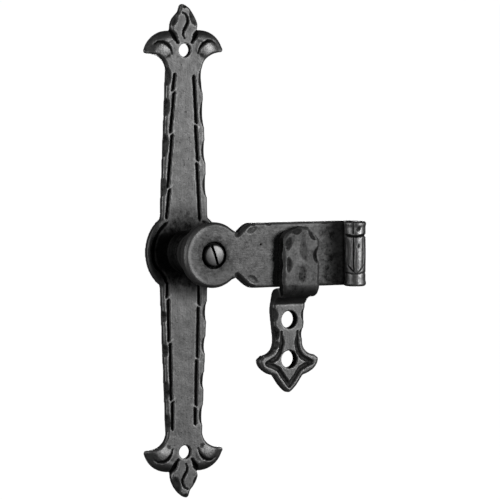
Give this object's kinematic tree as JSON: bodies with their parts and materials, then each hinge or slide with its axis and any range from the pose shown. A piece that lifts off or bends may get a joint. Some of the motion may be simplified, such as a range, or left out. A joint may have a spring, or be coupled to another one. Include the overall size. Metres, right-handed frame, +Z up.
{
  "type": "stair gate latch",
  "caption": "Forged iron drop latch: a long ornamental back plate carries a post, and an arm that swings on it drops behind the hammered horn of a keeper.",
  "frame": {"origin": "centre of the back plate's rear face, on the pivot axis", "axes": "+X from the pivot towards the keeper, +Y into whatever the plate is fixed to, +Z up along the back plate"},
  "size_m": [0.0956, 0.0358, 0.22],
  "materials": {
    "forged_iron": "hammered, dark graphite, satin",
    "screw_steel": "dark burnished",
    "plain_steel": "oiled, turned"
  },
  "bodies": {
    "mounted_plate": {"back_plate": "forged_iron", "pivot_post": "forged_iron", "thrust_washer": "plain_steel", "pivot_bush": "plain_steel", "spring_washer": "plain_steel", "pivot_screw": "screw_steel", "keeper": "forged_iron"},
    "swing_arm": {"latch_arm": "forged_iron"}
  },
  "joints": [
    {"name": "arm_lift", "type": "hinge", "parent": "mounted_plate", "child": "swing_arm", "pos_m": [0, -0.028, 0], "axis": [0, -1, 0], "range_deg": [0, 295]}
  ]
}
